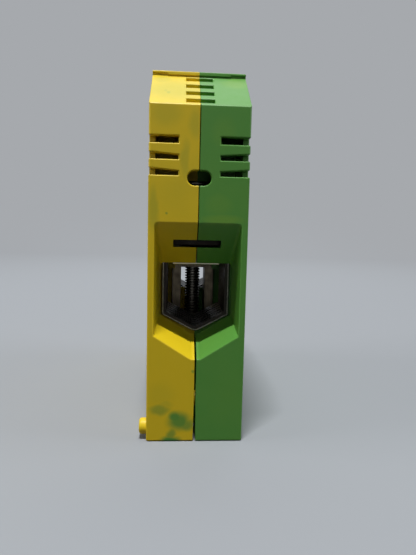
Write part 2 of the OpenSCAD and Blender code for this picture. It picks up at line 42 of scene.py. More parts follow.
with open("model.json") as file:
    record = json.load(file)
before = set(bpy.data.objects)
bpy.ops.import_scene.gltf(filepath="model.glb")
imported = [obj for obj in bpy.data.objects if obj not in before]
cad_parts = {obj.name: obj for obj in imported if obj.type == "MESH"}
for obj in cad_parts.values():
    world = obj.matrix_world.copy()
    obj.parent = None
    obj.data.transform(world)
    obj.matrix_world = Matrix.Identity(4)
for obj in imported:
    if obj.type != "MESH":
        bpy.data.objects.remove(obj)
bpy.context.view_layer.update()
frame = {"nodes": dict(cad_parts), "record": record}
RECORD = frame["record"]
BODY_OF = {
    node: body for body, nodes in RECORD["behaviour"]["bodies"].items() for node in nodes}

MM = 0.001
# Two coordinates closer than NEAR are the same place, and vertices closer than MERGED are one
NEAR = 0.02 * MM
MERGED = 0.0005 * MM
# Faces bent by less than FLAT are joined. An edge bent by more than CREASE stays sharp unless it
# is rounded, and an edge that the rounding leaves stays sharp past RIDGE
FLAT, CREASE, RIDGE = (math.radians(angle) for angle in (0.3, 35, 50))
# An edge bent by more than this is rounded: on metalwork, on the screws' heads and on the shells
METAL_CORNER, HEAD_CORNER, SHELL_CORNER = (math.radians(angle) for angle in (40, 30, 25))
# Edge weights, which are shares of a piece's rounding
WEIGHT = "bevel_weight_edge"


def linear(hex_colour):
    """An sRGB hex value as linear red, green, blue and alpha."""
    parts = [int(hex_colour[i:i + 2], 16) / 255 for i in (1, 3, 5)]
    return tuple(
        c / 12.92 if c <= 0.04045 else ((c + 0.055) / 1.055) ** 2.4 for c in parts) + (1.0,)


def colour(name, description, hex_colour):
    """A colour property whose default is an sRGB hex value."""
    return bpy.props.FloatVectorProperty(
        name=name, description=description, subtype="COLOR", size=4, min=0, max=1,
        default=linear(hex_colour))


def length(name, description, default_mm):
    """A length property whose default is in millimetres."""
    return bpy.props.FloatProperty(
        name=name, description=description, subtype="DISTANCE", unit="LENGTH", min=0, precision=5,
        default=default_mm * MM)


def power(name, description, default):
    """A lamp's power in watts."""
    return bpy.props.FloatProperty(
        name=name, description=description, subtype="POWER", unit="POWER", min=0, default=default)


class HousingLook(bpy.types.PropertyGroup):
    """Sizes and colours of the moulded shells."""
    yellow: colour("Yellow", "Colour of the yellow polyamide", "#E2C41B")
    green: colour("Green", "Colour of the green polyamide", "#529039")
    # On the yellow shell this pigment also paints light: a highlight tint on the shoulder and a
    # nick's shade
    green_pigment_and_painted_light: colour("Green clouds", "Green pigment that clouds the yellow shell", "#4A8C33")
    yellow_cloud: colour("Yellow clouds", "Yellow pigment that clouds the green shell", "#7FA32E")
    edge_round: length("Edge rounding", "Rounding of the upright corners, the most of any", 0.6)
    nose_round: length("Nose rounding", "Rounding of the roof's edges and the base", 0.48)
    mouth_round: length("Mouth rounding", "Rounding of the shoulders and the entry's mouth", 0.25)
    slot_round: length("Slot rounding", "Rounding of the vents, the slots and the pegs", 0.28)
    seam_round: length("Seam rounding", "Rounding of the edges where the shells meet", 0.13)
    lip_round: length("Lip rounding", "Rounding under the roof's overhanging edge", 0.1)


class MetalLook(bpy.types.PropertyGroup):
    """Sizes and colours of the plated metalwork."""
    # Almost black: painted shade for the dark surroundings that the sleeves reflect
    sleeve: colour("Sleeves", "Colour of the clamping sleeves", "#2A2723")
    bar: colour("Bar", "Colour of the tinned current bar", "#C4BCA9")
    bar_end: colour("Bar's ends", "Colour of the bar's sawn ends", "#8F8674")
    foot: colour("Foot", "Colour of the rail foot and the yoke", "#8A7E6A")
    screw: colour("Screws", "Colour of the screws, washers and nut", "#8A857B")
    # Pale steel on the sleeves' rounded outer edges: a painted highlight
    rim_highlight: colour("Painted rim highlight", "Colour of the steel where an edge is rubbed bare", "#D8D4C8")
    edge_break: length("Edge break", "Broken edge of the stamped and bent pieces", 0.2)
    rim_break: length("Rim break", "Broken outer edge of the clamping sleeves", 0.42)
    bar_break: length("Bar's edge break", "Broken edge of the current bar", 0.45)


class ThreadSizes(bpy.types.PropertyGroup):
    """Pitches of the screw threads."""
    clamp_pitch: length("Clamp screw pitch", "Pitch of the clamp screws' thread", 1.25)
    # Drawn a little coarser than an M5's 0.8 mm, so that it shows
    foot_pitch: length("Foot screw pitch", "Pitch of the foot screw's thread", 0.9)


class StageLook(bpy.types.PropertyGroup):
    """Floor, light and camera."""
    floor: colour("Floor", "Colour of the floor and the backdrop as they are seen", "#969A9F")
    floor_bounce: colour(
        "Floor's bounce", "Colour of the light that the floor throws back on the block", "#4B4A48")
    surround: colour(
        "Surround", "Colour that the floor fades to with distance, and of all that lies beyond it",
        "#A6A9AD")
    camera_place: bpy.props.FloatVectorProperty(
        name="Camera place", description="Where the camera stands", subtype="TRANSLATION",
        unit="LENGTH", default=(-4.67 * MM, -154.37 * MM, 55.98 * MM))
    camera_turn: bpy.props.FloatVectorProperty(
        name="Camera turn", description="Yaw, pitch and roll of the camera", subtype="EULER",
        unit="ROTATION", default=(0.06545, 0.11229, -0.02407))
    # 450 pixels on an image that is 555 pixels tall, with a sensor of 36 mm
    lens: bpy.props.FloatProperty(
        name="Focal length", description="Focal length of the camera, in millimetres",
        subtype="DISTANCE_CAMERA", default=450 * 36 / 555)
    key_power: power("Key light", "Power of the narrow light overhead", 10.4)
    front_power: power("Front light", "Power of the broad light at the front", 0.5)
    back_power: power("Back light", "Power of the broad light above the rear", 1.6)
    side_power: power("Side light", "Power of each of the broad lights at the sides", 3.4)
    backdrop_power: power("Backdrop light", "Power of the light on the backdrop", 20.0)
    fill: bpy.props.FloatProperty(
        name="Fill light", description="Strength of the light from all round", subtype="FACTOR",
        min=0, max=2, default=0.08)


# Sockets of a Mix node that mixes colours
MIX_FACTOR, MIX_FIRST, MIX_SECOND, MIX_RESULT = 0, 6, 7, 2


def add_node(tree, kind, inputs=None, **settings):
    """Adds a node. An input is another node's output, which is linked, or a socket's value."""
    node = tree.nodes.new(kind)
    for name, value in settings.items():
        setattr(node, name, value)
    for socket, value in (inputs or {}).items():
        if isinstance(value, bpy.types.NodeSocket):
            tree.links.new(value, node.inputs[socket])
        else:
            node.inputs[socket].default_value = value
    return node


def new_material(name):
    """An empty node material: its tree, its shader and its Object coordinates."""
    material = bpy.data.materials.new(name)
    material.use_nodes = True
    tree = material.node_tree
    tree.nodes.clear()
    shader = add_node(tree, "ShaderNodeBsdfPrincipled")
    add_node(tree, "ShaderNodeOutputMaterial", {"Surface": shader.outputs["BSDF"]})
    place = add_node(tree, "ShaderNodeTexCoord").outputs["Object"]
    return material, tree, shader, place


# Clouds of the other pigment, with painted light among them: centre and radii in millimetres, and
# strength at the centre
YELLOW_CLOUDS_AND_PAINTED_LIGHT = (
    # Front, under the entry
    ((-4.1, -42, 5.5), (4.3, 5, 3.4), 0.9),
    ((-5.0, -42, 6.4), (2.8, 5, 2.1), 0.95),
    ((-2.2, -42, 4.6), (4.0, 5, 2.4), 0.76),
    ((-9.0, -42, 8.5), (3.8, 5, 2.0), 0.55),
    ((-7.4, -42, 9.8), (2.6, 4, 1.8), 0.2),
    ((-6.0, -42, 0.2), (3.8, 4, 2.0), 0.98),
    ((-6.0, -42, 2.0), (1.7, 4, 3.0), 0.7),
    ((-8.8, -42, 12.8), (5.5, 4, 5.0), 0.1),
    # A small dark spot at the seam: painted shade of a nick in the edge
    ((-0.7, -42, 19.0), (0.6, 2, 0.8), 0.6),
    # Front shoulder
    ((-8.7, -36.4, 89.7), (0.9, 1.7, 1.5), 0.4),
    ((-8.0, -37.2, 89.0), (0.9, 1.7, 1.5), 0.45),
    ((-8.5, -35.0, 91.0), (5.0, 4.5, 4.0), 0.2),
    # Painted highlight tint: this broad cloud turns the whole lit shoulder greener, as it looks
    # under its sheen
    ((-6.0, -37.0, 91.5), (14.0, 10.0, 9.0), 0.3),
    ((-9.5, -30.8, 93.8), (4.0, 4.0, 3.5), 0.25),
    # Front, beside the vents and the entry
    ((-8.2, -42, 83.0), (5.2, 4, 4.6), 0.18),
    ((-11.2, -42, 60.5), (2.0, 4, 8.0), 0.3),
    ((-3.6, -42, 72.0), (1.6, 4, 7.0), 0.25),
    ((-7.9, -42, 69.3), (1.0, 2, 1.0), 0.35),
    ((-7.9, -42, 59.1), (0.5, 2, 0.5), 0.6),
    ((-1.4, -42, 80.8), (2.4, 4, 5.0), 0.22),
    # Side
    ((-12.5, -15, 61), (5, 11, 5), 0.3),
    ((-12.5, -9, 57), (5, 8, 6), 0.34),
    ((-12.5, -20, 56), (5, 5, 8), 0.2),
    ((-12.5, -2, 53), (5, 9, 3), 0.2),
    ((-12.5, 24, 31), (5, 6, 9), 0.3),
    ((-12.5, 20, 25), (5, 8, 5), 0.34),
    ((-12.5, 27, 40), (5, 3.5, 7), 0.2),
    ((-12.5, -33, 20), (5, 4, 8), 0.22),
    ((-12.5, 6, 84), (5, 13, 3.5), 0.2),
    # Rear
    ((-8, 42, 70), (4, 5, 5), 0.4),
    ((-5, 42, 75), (3, 5, 6), 0.3),
    ((-9, 42, 10), (3, 5, 4), 0.35),
)
GREEN_CLOUDS = (
    # Front and its shoulder
    ((6.0, -42, 57.8), (7.5, 3, 2.0), 0.4),
    ((9.5, -31.5, 93.4), (5.0, 6, 4.0), 0.3),
    ((5.0, -42, 61.5), (5.0, 4, 4.0), 0.2),
    ((5.5, -42, 79.0), (4.0, 4, 5.0), 0.16),
    # Side
    ((12.5, 5, 67), (5, 11, 5), 0.3),
    ((12.5, 14, 62), (5, 9, 6), 0.26),
    ((12.5, -3, 61), (5, 7, 3), 0.2),
    ((12.5, -22, 28), (5, 6, 9), 0.28),
    ((12.5, -17, 20), (5, 8, 5), 0.24),
    ((12.5, 30, 18), (5, 4, 9), 0.2),
    # Rear
    ((7, 42, 20), (4, 5, 6), 0.3),
    ((4, 42, 13), (3, 5, 5), 0.24),
)
# Sizes in the plastic: the melt's swirls and how far they bend a cloud's outline, the thin haze of
# pigment between the clouds, the patches of sheen with their sink marks, and the mould's grain
SWIRL, SWIRL_BEND, HAZE = 4 * MM, 1.6 * MM, 16 * MM
SHEEN, SINK_DEPTH = 2.5 * MM, 0.05 * MM
GRAIN, GRAIN_DEPTH = 0.25 * MM, 0.012 * MM
HAZE_MOST = 0.12
# A cloud rises to its full strength over this share of its radii, from the rim inwards
CLOUD_FADE = 0.74


def moulded_polyamide(name, base, pigment, clouds):
    """Glass-filled polyamide, injection moulded: satin and faintly grained, and clouded where the
    pigment of the other shell was left in the machine and mixed badly. A few of the clouds are
    painted light instead: a highlight tint and the shade of a nick."""
    material, tree, shader, place = new_material(name)
    # The melt swirled as it filled the mould, so the clouds' outlines wander
    swirl = add_node(
        tree, "ShaderNodeTexNoise", {"Vector": place, "Scale": 1 / SWIRL, "Detail": 1})
    offset = add_node(
        tree, "ShaderNodeVectorMath", {0: swirl.outputs["Color"], 1: (-0.5, -0.5, -0.5)},
        operation="ADD")
    bent = add_node(
        tree, "ShaderNodeVectorMath", {0: offset.outputs[0], 1: (SWIRL_BEND,) * 3, 2: place},
        operation="MULTIPLY_ADD").outputs[0]
    haze = add_node(
        tree, "ShaderNodeTexNoise", {"Vector": bent, "Scale": 1 / HAZE, "Detail": 3})
    amount = add_node(
        tree, "ShaderNodeMapRange",
        {"Value": haze.outputs["Fac"], "From Min": 0.5, "From Max": 0.8,
         "To Max": HAZE_MOST}).outputs[0]
    for centre, radii, strength in clouds:
        ball = add_node(
            tree, "ShaderNodeMapping",
            {"Vector": bent, "Location": [-c / r for c, r in zip(centre, radii)],
             "Scale": [1 / (r * MM) for r in radii]})
        fade = add_node(
            tree, "ShaderNodeTexGradient", {"Vector": ball.outputs[0]}, gradient_type="SPHERICAL")
        soft = add_node(
            tree, "ShaderNodeMapRange",
            {"Value": fade.outputs["Fac"], "From Max": CLOUD_FADE, "To Max": strength},
            interpolation_type="SMOOTHSTEP")
        amount = add_node(
            tree, "ShaderNodeMath", {0: amount, 1: soft.outputs[0]}, operation="MAXIMUM").outputs[0]
    tint = add_node(
        tree, "ShaderNodeMix", {MIX_FACTOR: amount, MIX_FIRST: base, MIX_SECOND: pigment},
        data_type="RGBA")
    tree.links.new(tint.outputs[MIX_RESULT], shader.inputs["Base Color"])
    # Spark-eroded mould skin: its grain is finer than this, and is drawn coarser so that it shows
    sheen = add_node(
        tree, "ShaderNodeTexNoise", {"Vector": place, "Scale": 1 / SHEEN, "Detail": 4})
    rough = add_node(
        tree, "ShaderNodeMapRange",
        {"Value": sheen.outputs["Fac"], "To Min": 0.36, "To Max": 0.52})
    tree.links.new(rough.outputs[0], shader.inputs["Roughness"])
    grain = add_node(
        tree, "ShaderNodeTexNoise", {"Vector": place, "Scale": 1 / GRAIN, "Detail": 2})
    sink = add_node(
        tree, "ShaderNodeBump",
        {"Height": sheen.outputs["Fac"], "Strength": 0.25, "Distance": SINK_DEPTH})
    skin = add_node(
        tree, "ShaderNodeBump",
        {"Height": grain.outputs["Fac"], "Strength": 0.3, "Distance": GRAIN_DEPTH,
         "Normal": sink.outputs[0]})
    tree.links.new(skin.outputs[0], shader.inputs["Normal"])
    shader.inputs["IOR"].default_value = 1.53
    shader.inputs["Specular IOR Level"].default_value = 0.35
    return material


# Sizes on the metal: the width of a rolling mark, the patches of the plate and their relief. Real
# rolling marks are a few hundredths of a millimetre wide, and are drawn broader so that they show
MARK_WIDTH, PATCH, RELIEF = 0.18 * MM, 2.2 * MM, 0.01 * MM
# How much rougher the dark marks are than the rest, and how much smoother the pale ones
ROUGHER, SMOOTHER = 0.12, 0.06


def plated_metal(name, base, roughness, marks_along, mark_mm, mottle):
    """Zinc or tin on rolled metal: a dull mirror, with rolling marks along one axis and a mottled
    plate."""
    material, tree, shader, place = new_material(name)
    across = [1 / MARK_WIDTH] * 3
    across["XYZ".index(marks_along)] = 1 / (mark_mm * MM)
    stretched = add_node(tree, "ShaderNodeMapping", {"Vector": place, "Scale": across})
    marks = add_node(
        tree, "ShaderNodeTexNoise", {"Vector": stretched.outputs[0], "Scale": 1, "Detail": 3})
    patch = add_node(
        tree, "ShaderNodeTexNoise", {"Vector": place, "Scale": 1 / PATCH, "Detail": 4})
    blend = add_node(
        tree, "ShaderNodeMath", {0: marks.outputs["Fac"], 1: patch.outputs["Fac"]},
        operation="MULTIPLY").outputs[0]
    spread = {"Value": blend, "From Min": 0.12, "From Max": 0.42}
    shade = add_node(
        tree, "ShaderNodeMapRange", {**spread, "To Min": 1 - mottle, "To Max": 1.0})
    tone = add_node(
        tree, "ShaderNodeVectorMath", {0: shade.outputs[0], 1: base[:3]}, operation="MULTIPLY")
    tree.links.new(tone.outputs[0], shader.inputs["Base Color"])
    rough = add_node(
        tree, "ShaderNodeMapRange",
        {**spread, "To Min": roughness + ROUGHER, "To Max": roughness - SMOOTHER})
    tree.links.new(rough.outputs[0], shader.inputs["Roughness"])
    relief = add_node(
        tree, "ShaderNodeBump", {"Height": blend, "Strength": mottle, "Distance": RELIEF})
    tree.links.new(relief.outputs[0], shader.inputs["Normal"])
    shader.inputs["Metallic"].default_value = 1.0
    return material


def node_copy(node):
    """A CAD node's mesh as a bmesh, with its doubles merged and its flat faces joined."""
    bm = bmesh.new()
    bm.from_mesh(frame["nodes"][node].data)
    bmesh.ops.remove_doubles(bm, verts=bm.verts, dist=MERGED)
    bmesh.ops.dissolve_limit(
        bm, angle_limit=FLAT, use_dissolve_boundaries=False, verts=bm.verts, edges=bm.edges)
    bm.edges.layers.float.new(WEIGHT)
    return bm


def add_piece(node, bm, materials, rounding, segments=2):
    """Makes a piece that stands for a CAD node and rides on its body. Weighted edges are rounded,
    and the last material goes on them. The rest stay sharp."""
    weight = bm.edges.layers.float[WEIGHT]
    for edge in bm.edges:
        bent = edge.is_manifold and edge.calc_face_angle() > CREASE
        edge.smooth = not bent or edge[weight] > 0
    for face in bm.faces:
        face.smooth = True
    mesh = bpy.data.meshes.new("dressed_" + node)
    bm.to_mesh(mesh)
    bm.free()
    for material in materials:
        mesh.materials.append(material)
    piece = bpy.data.objects.new("dressed_" + node, mesh)
    bpy.context.scene.collection.objects.link(piece)
    bevel = piece.modifiers.new("Rounded edges", "BEVEL")
    bevel.limit_method = "WEIGHT"
    bevel.width = rounding
    bevel.segments = segments
    bevel.profile = 0.5
    bevel.use_clamp_overlap = False
    bevel.material = len(materials) - 1
    # The rounding is applied, so that the ridges left where rounded edges end can be marked
    depsgraph = bpy.context.evaluated_depsgraph_get()
    rounded = bpy.data.meshes.new_from_object(piece.evaluated_get(depsgraph))
    bm = bmesh.new()
    bm.from_mesh(rounded)
    bmesh.ops.dissolve_degenerate(bm, edges=bm.edges, dist=MERGED)
    for edge in bm.edges:
        if edge.is_manifold and edge.calc_face_angle() > RIDGE:
            edge.smooth = False
    # Where two roundings cross, the corner may stand a hair proud of the node
    low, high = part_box(node)
    for vert in bm.verts:
        vert.co = [
            min(max(value, least), most) for value, least, most in zip(vert.co, low, high)]
    bm.to_mesh(rounded)
    bm.free()
    piece.modifiers.remove(bevel)
    piece.data = rounded
    bpy.data.meshes.remove(mesh)
    rounded.name = piece.name
    level = piece.modifiers.new("Level faces", "WEIGHTED_NORMAL")
    level.keep_sharp = True
    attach(piece, BODY_OF[node])
    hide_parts(node)


def weigh_corners(bm, bend=METAL_CORNER):
    """Gives each convex edge that is bent by more than an angle the piece's full rounding."""
    weight = bm.edges.layers.float[WEIGHT]
    for edge in bm.edges:
        if edge.is_manifold and edge.is_convex and edge.calc_face_angle() > bend:
            edge[weight] = 1.0


def weigh_rim(bm):
    """Rounds a sleeve's outer corners, which take the pale steel of a painted highlight. Those
    inside stay as sheared.
    """
    weigh_corners(bm)
    weight = bm.edges.layers.float[WEIGHT]
    middle = sum((v.co for v in bm.verts), Vector()) / len(bm.verts)
    for face in bm.faces:
        at_end = abs(face.normal.y) >= 0.5
        inward = face.normal.dot(face.calc_center_median() - middle) < 0
        if inward and not at_end:
            for edge in face.edges:
                edge[weight] = 0


def outer_planes():
    """The housing's outer planes, each as a point and an outward normal: base, roof, ends, sides
    and shoulders. Then how far the roof reaches along Y, and how high the shoulders do."""
    low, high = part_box("green_shell")
    verts = [v.co for v in frame["nodes"]["green_shell"].data.vertices]
    shoulder_z = max(v.z for v in verts if abs(v.y - high.y) < NEAR)
    lip_y = max(v.y for v in verts if abs(v.z - high.z) < NEAR)
    slope_z = min(
        v.z for v in verts if abs(v.y - lip_y) < NEAR and v.z > shoulder_z + NEAR)
    planes = [(low, Vector((0, 0, -1))), (high, Vector((0, 0, 1)))]
    for end in (-1, 1):
        planes.append((Vector((0, end * high.y, 0)), Vector((0, end, 0))))
        planes.append((Vector((end * high.x, 0, 0)), Vector((end, 0, 0))))
        slope = Vector((0, end * (slope_z - shoulder_z), high.y - lip_y)).normalized()
        planes.append((Vector((0, end * high.y, shoulder_z)), slope))
    return planes, lip_y, slope_z


# On the shells: how near to the middle the seam's faces lie, how far in the lip reaches, how far
# above the sleeve the mouth's edges end, and the height under which each opening is a small one
SEAM_REACH, LIP_REACH, MOUTH_REACH, LOW_OPENINGS = 0.4 * MM, 2 * MM, 2 * MM, 10 * MM
# Least cosine of the angle between two directions that count as the same: of a face and an outer
# plane, of a face and the seam, and of an edge and the upright
OUTER_COS, SEAM_COS, UPRIGHT_COS = 0.999, 0.99, 0.9


def weigh_shell(bm, look):
    """Sets how far each outer edge of a shell is rounded, as a share of the edge rounding."""
    planes, lip_y, slope_z = outer_planes()
    side_x, _, roof_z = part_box("green_shell")[1]
    mouth_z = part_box("front_clamp_sleeve")[1].z
    weight = bm.edges.layers.float[WEIGHT]

    def outer(face):
        return any(
            face.normal.dot(normal) > OUTER_COS
            and abs((face.calc_center_median() - point).dot(normal)) < NEAR
            for point, normal in planes)

    def seam(face):
        return (abs(face.normal.x) > SEAM_COS
                and abs(face.calc_center_median().x) < SEAM_REACH)

    def rounding_of(edge):
        centre = (edge.verts[0].co + edge.verts[1].co) / 2
        along = edge.verts[0].co - edge.verts[1].co
        shown = sum(outer(face) for face in edge.link_faces)
        if abs(centre.x) > side_x + NEAR:
            return look.slot_round
        if any(seam(face) for face in edge.link_faces):
            return look.seam_round if shown or abs(centre.y) > lip_y else 0
        if centre.z > roof_z - NEAR:
            # The screw openings come within a millimetre of the nose, so less is left for them
            nose = shown == 2 or abs(centre.y) > lip_y - NEAR
            return look.nose_round if nose else look.slot_round
        if centre.z > slope_z - NEAR:
            return look.lip_round if shown == 2 or abs(centre.y) > lip_y - LIP_REACH else 0
        if shown == 2:
            if abs(along.z) > UPRIGHT_COS * along.length:
                return look.edge_round
            return look.nose_round if centre.z < NEAR else look.mouth_round
        if shown == 1:
            on_side = abs(centre.x) > side_x - NEAR
            if on_side and centre.z < LOW_OPENINGS and abs(centre.y) > lip_y:
                # The peg sockets lie close to the base's rounding, so less is left for them
                return look.seam_round
            small = centre.z > mouth_z + MOUTH_REACH or centre.z < LOW_OPENINGS
            return look.slot_round if small else look.mouth_round
        return 0

    for edge in bm.edges:
        if edge.is_manifold and edge.is_convex and edge.calc_face_angle() >= SHELL_CORNER:
            edge[weight] = rounding_of(edge) / look.edge_round


# A thread's depth as a share of its pitch, and its profile as shares of the depth below the crest
# and of the pitch. The crest is three times as wide as a metric thread's, so that it shows
THREAD_DEPTH = 0.6134
THREAD_PROFILE = ((1, 0), (1, 1 / 8), (0, 3 / 8), (0, 3 / 4), (1, 1))
# Steps in a turn, and turns that the helix starts below the tip and is longer than the shank
TURN_STEPS, TURNS_BELOW, TURNS_MORE = 28, 2, 3
# The shank ends a little inside the head, so that the two are one body
SHANK_OVERLAP = 0.2 * MM


def threaded_screw(node, pitch):
    """A CAD screw's head on a shank with a cut thread: one pitch of profile, spun and raised along
    the axis."""
    bm = node_copy(node)
    low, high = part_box(node)
    axis = Vector(((low.x + high.x) / 2, (low.y + high.y) / 2, 0))
    reach = [((v.co - axis).to_2d().length, v.co.z) for v in bm.verts]
    head_r = max(r for r, z in reach)
    head_z = min(z for r, z in reach if r > head_r - NEAR)
    shank_r = max(r for r, z in reach if z < head_z - NEAR)
    tip_r = max(r for r, z in reach if z < low.z + NEAR)
    bmesh.ops.bisect_plane(
        bm, geom=bm.verts[:] + bm.edges[:] + bm.faces[:], plane_co=(0, 0, head_z),
        plane_no=(0, 0, 1), clear_inner=True)
    bmesh.ops.edgeloop_fill(bm, edges=[e for e in bm.edges if e.is_boundary])
    weigh_corners(bm, HEAD_CORNER)
    thread = bmesh.new()
    thread.edges.layers.float.new(WEIGHT)
    depth = THREAD_DEPTH * pitch
    start = low.z - TURNS_BELOW * pitch
    corners = [
        thread.verts.new((shank_r - below * depth, 0, start + rise * pitch))
        for below, rise in THREAD_PROFILE]
    sides = [thread.edges.new(pair) for pair in zip(corners, corners[1:])]
    turns = math.ceil((head_z - low.z) / pitch) + TURNS_MORE
    bmesh.ops.spin(
        thread, geom=corners + sides, cent=(0, 0, 0), axis=(0, 0, 1),
        dvec=(0, 0, pitch / TURN_STEPS), angle=math.tau * turns, steps=TURN_STEPS * turns,
        use_merge=False)
    bmesh.ops.remove_doubles(thread, verts=thread.verts, dist=MERGED)
    for level, keep_above in ((low.z, True), (head_z + SHANK_OVERLAP, False)):
        bmesh.ops.bisect_plane(
            thread, geom=thread.verts[:] + thread.edges[:] + thread.faces[:],
            plane_co=(0, 0, level), plane_no=(0, 0, 1),
            clear_inner=keep_above, clear_outer=not keep_above)
        rim = [
            e for e in thread.edges if e.is_boundary and abs(e.verts[0].co.z - level) < NEAR]
        bmesh.ops.edgeloop_fill(thread, edges=rim)
    # The tip is turned down at 45 degrees
    for vert in thread.verts:
        r = vert.co.to_2d().length
        most = tip_r + vert.co.z - low.z
        if r > most:
            vert.co.xy *= most / r
    bmesh.ops.recalc_face_normals(thread, faces=thread.faces)
    bmesh.ops.translate(thread, verts=thread.verts, vec=axis)
    shank = bpy.data.meshes.new("shank")
    thread.to_mesh(shank)
    thread.free()
    bm.from_mesh(shank)
    bpy.data.meshes.remove(shank)
    return bm


class TERMINAL_OT_housing_shells(bpy.types.Operator):
    """Mould the yellow and the green shell"""
    bl_idname = "terminal.housing_shells"
    bl_label = "Housing shells"

    def execute(self, context):
        look = context.scene.terminal_housing
        for node, base, pigment, clouds in (
                ("yellow_shell", look.yellow, look.green_pigment_and_painted_light, YELLOW_CLOUDS_AND_PAINTED_LIGHT),
                ("green_shell", look.green, look.yellow_cloud, GREEN_CLOUDS)):
            bm = node_copy(node)
            weigh_shell(bm, look)
            name = node.replace("shell", "polyamide")
            plastic = moulded_polyamide(name, base, pigment, clouds)
            add_piece(node, bm, [plastic], look.edge_round, segments=3)
        return {"FINISHED"}


class TERMINAL_OT_clamp_sleeves(bpy.types.Operator):
    """Bend the two clamping sleeves"""
    bl_idname = "terminal.clamp_sleeves"
    bl_label = "Clamping sleeves"

    def execute(self, context):
        look = context.scene.terminal_metal
        # Zinc on bent strip, drawn almost black: painted shade for the dark surroundings that its
        # faces reflect, with a soft gloss along the bends
        steel = plated_metal(
            "dark_painted_shade_steel", look.sleeve, roughness=0.3, marks_along="Y", mark_mm=6,
            mottle=0.15)
        # Pale steel on the rounded outer edges: a painted highlight, a bright scratched line along
        # them
        rim_highlight = plated_metal(
            "sleeve_rim_painted_highlight", look.rim_highlight, roughness=0.42, marks_along="Y", mark_mm=3, mottle=0.5)
        for node in ("front_clamp_sleeve", "rear_clamp_sleeve"):
            bm = node_copy(node)
            weigh_rim(bm)
            add_piece(node, bm, [steel, rim_highlight], look.rim_break)
        return {"FINISHED"}


class TERMINAL_OT_screws(bpy.types.Operator):
    """Cut the clamp screws and the foot screw, and stamp the washers under its head"""
    bl_idname = "terminal.screws"
    bl_label = "Screws and washers"

    def execute(self, context):
        look = context.scene.terminal_metal
        sizes = context.scene.terminal_threads
        # Bright zinc on cold-headed steel: grey and fairly glossy, so that each crest glints
        steel = plated_metal(
            "zinc_plated_screw_steel", look.screw, roughness=0.32, marks_along="Z", mark_mm=0.6,
            mottle=0.3)
        for node, pitch in (
                ("front_clamp_screw", sizes.clamp_pitch), ("rear_clamp_screw", sizes.clamp_pitch),
                ("foot_screw", sizes.foot_pitch)):
            add_piece(node, threaded_screw(node, pitch), [steel], look.edge_break)
        for node in ("foot_screw_washer", "foot_spring_washer"):
            bm = node_copy(node)
            weigh_corners(bm)
            add_piece(node, bm, [steel], look.edge_break)
        return {"FINISHED"}


class TERMINAL_OT_current_bar(bpy.types.Operator):
    """Saw the tinned current bar"""
    bl_idname = "terminal.current_bar"
    bl_label = "Current bar"

    def execute(self, context):
        look = context.scene.terminal_metal
        bm = node_copy("current_bar")
        weigh_corners(bm)
        # Tin on drawn copper: a pale, warm grey with drawing marks along the bar
        tin = plated_metal(
            "tinned_copper", look.bar, roughness=0.34, marks_along="Y", mark_mm=5, mottle=0.25)
        # Tin over the saw's marks: duller and darker, with marks across the bar's ends
        sawn = plated_metal(
            "sawn_tinned_copper", look.bar_end, roughness=0.46, marks_along="X", mark_mm=1.5,
            mottle=0.45)
        low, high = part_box("current_bar")
        for face in bm.faces:
            between_ends = low.y + NEAR < face.calc_center_median().y < high.y - NEAR
            face.material_index = 1 if between_ends else 0
        add_piece("current_bar", bm, [sawn, tin], look.bar_break)
        return {"FINISHED"}


class TERMINAL_OT_rail_foot(bpy.types.Operator):
    """Bend the foot and the yoke that grip the rail, and place the nut"""
    bl_idname = "terminal.rail_foot"
    bl_label = "Rail foot"

    def execute(self, context):
        look = context.scene.terminal_metal
        # Zinc on bent strip, plated in a barrel: a cloudy, dull grey with faint upright marks
        steel = plated_metal(
            "dull_zinc_plated_steel", look.foot, roughness=0.42, marks_along="Z", mark_mm=7,
            mottle=0.5)
        # Bright zinc on a pressed nut: grey, a little duller than the screws
        nut_steel = plated_metal(
            "zinc_plated_nut_steel", look.screw, roughness=0.34, marks_along="X", mark_mm=2,
            mottle=0.3)
        for node, metal in (("earth_foot", steel), ("rail_yoke", steel), ("foot_nut", nut_steel)):
            bm = node_copy(node)
            weigh_corners(bm)
            add_piece(node, bm, [metal], look.edge_break)
        return {"FINISHED"}


# The sweep, in metres: half the floor's width, where the backdrop stands and how far it rises, and
# the radius of the curve between them. The fade is measured from the middle of the block
FLOOR_REACH, BACKDROP_Y, BACKDROP_RISE, CURVE_R, CURVE_SEGMENTS = 3.0, 1.2, 1.6, 0.5, 16
FADE_START, FADE_END = 0.25, 1.1
# The painted board's tooth
TOOTH, TOOTH_DEPTH = 1.5 * MM, 0.02 * MM
# What the lamps aim at
BLOCK, BACKDROP = Vector((0, -0.042, 0.05)), Vector((0, 1.2, 0.85))


def seen_rays(tree):
    """1 for a ray that shows the surroundings: to the camera, in metal or through an opening."""
    ray = add_node(tree, "ShaderNodeLightPath").outputs
    seen = ray["Is Camera Ray"]
    for kind in ("Is Glossy Ray", "Is Transmission Ray"):
        seen = add_node(
            tree, "ShaderNodeMath", {0: seen, 1: ray[kind]}, operation="MAXIMUM").outputs[0]
    return seen


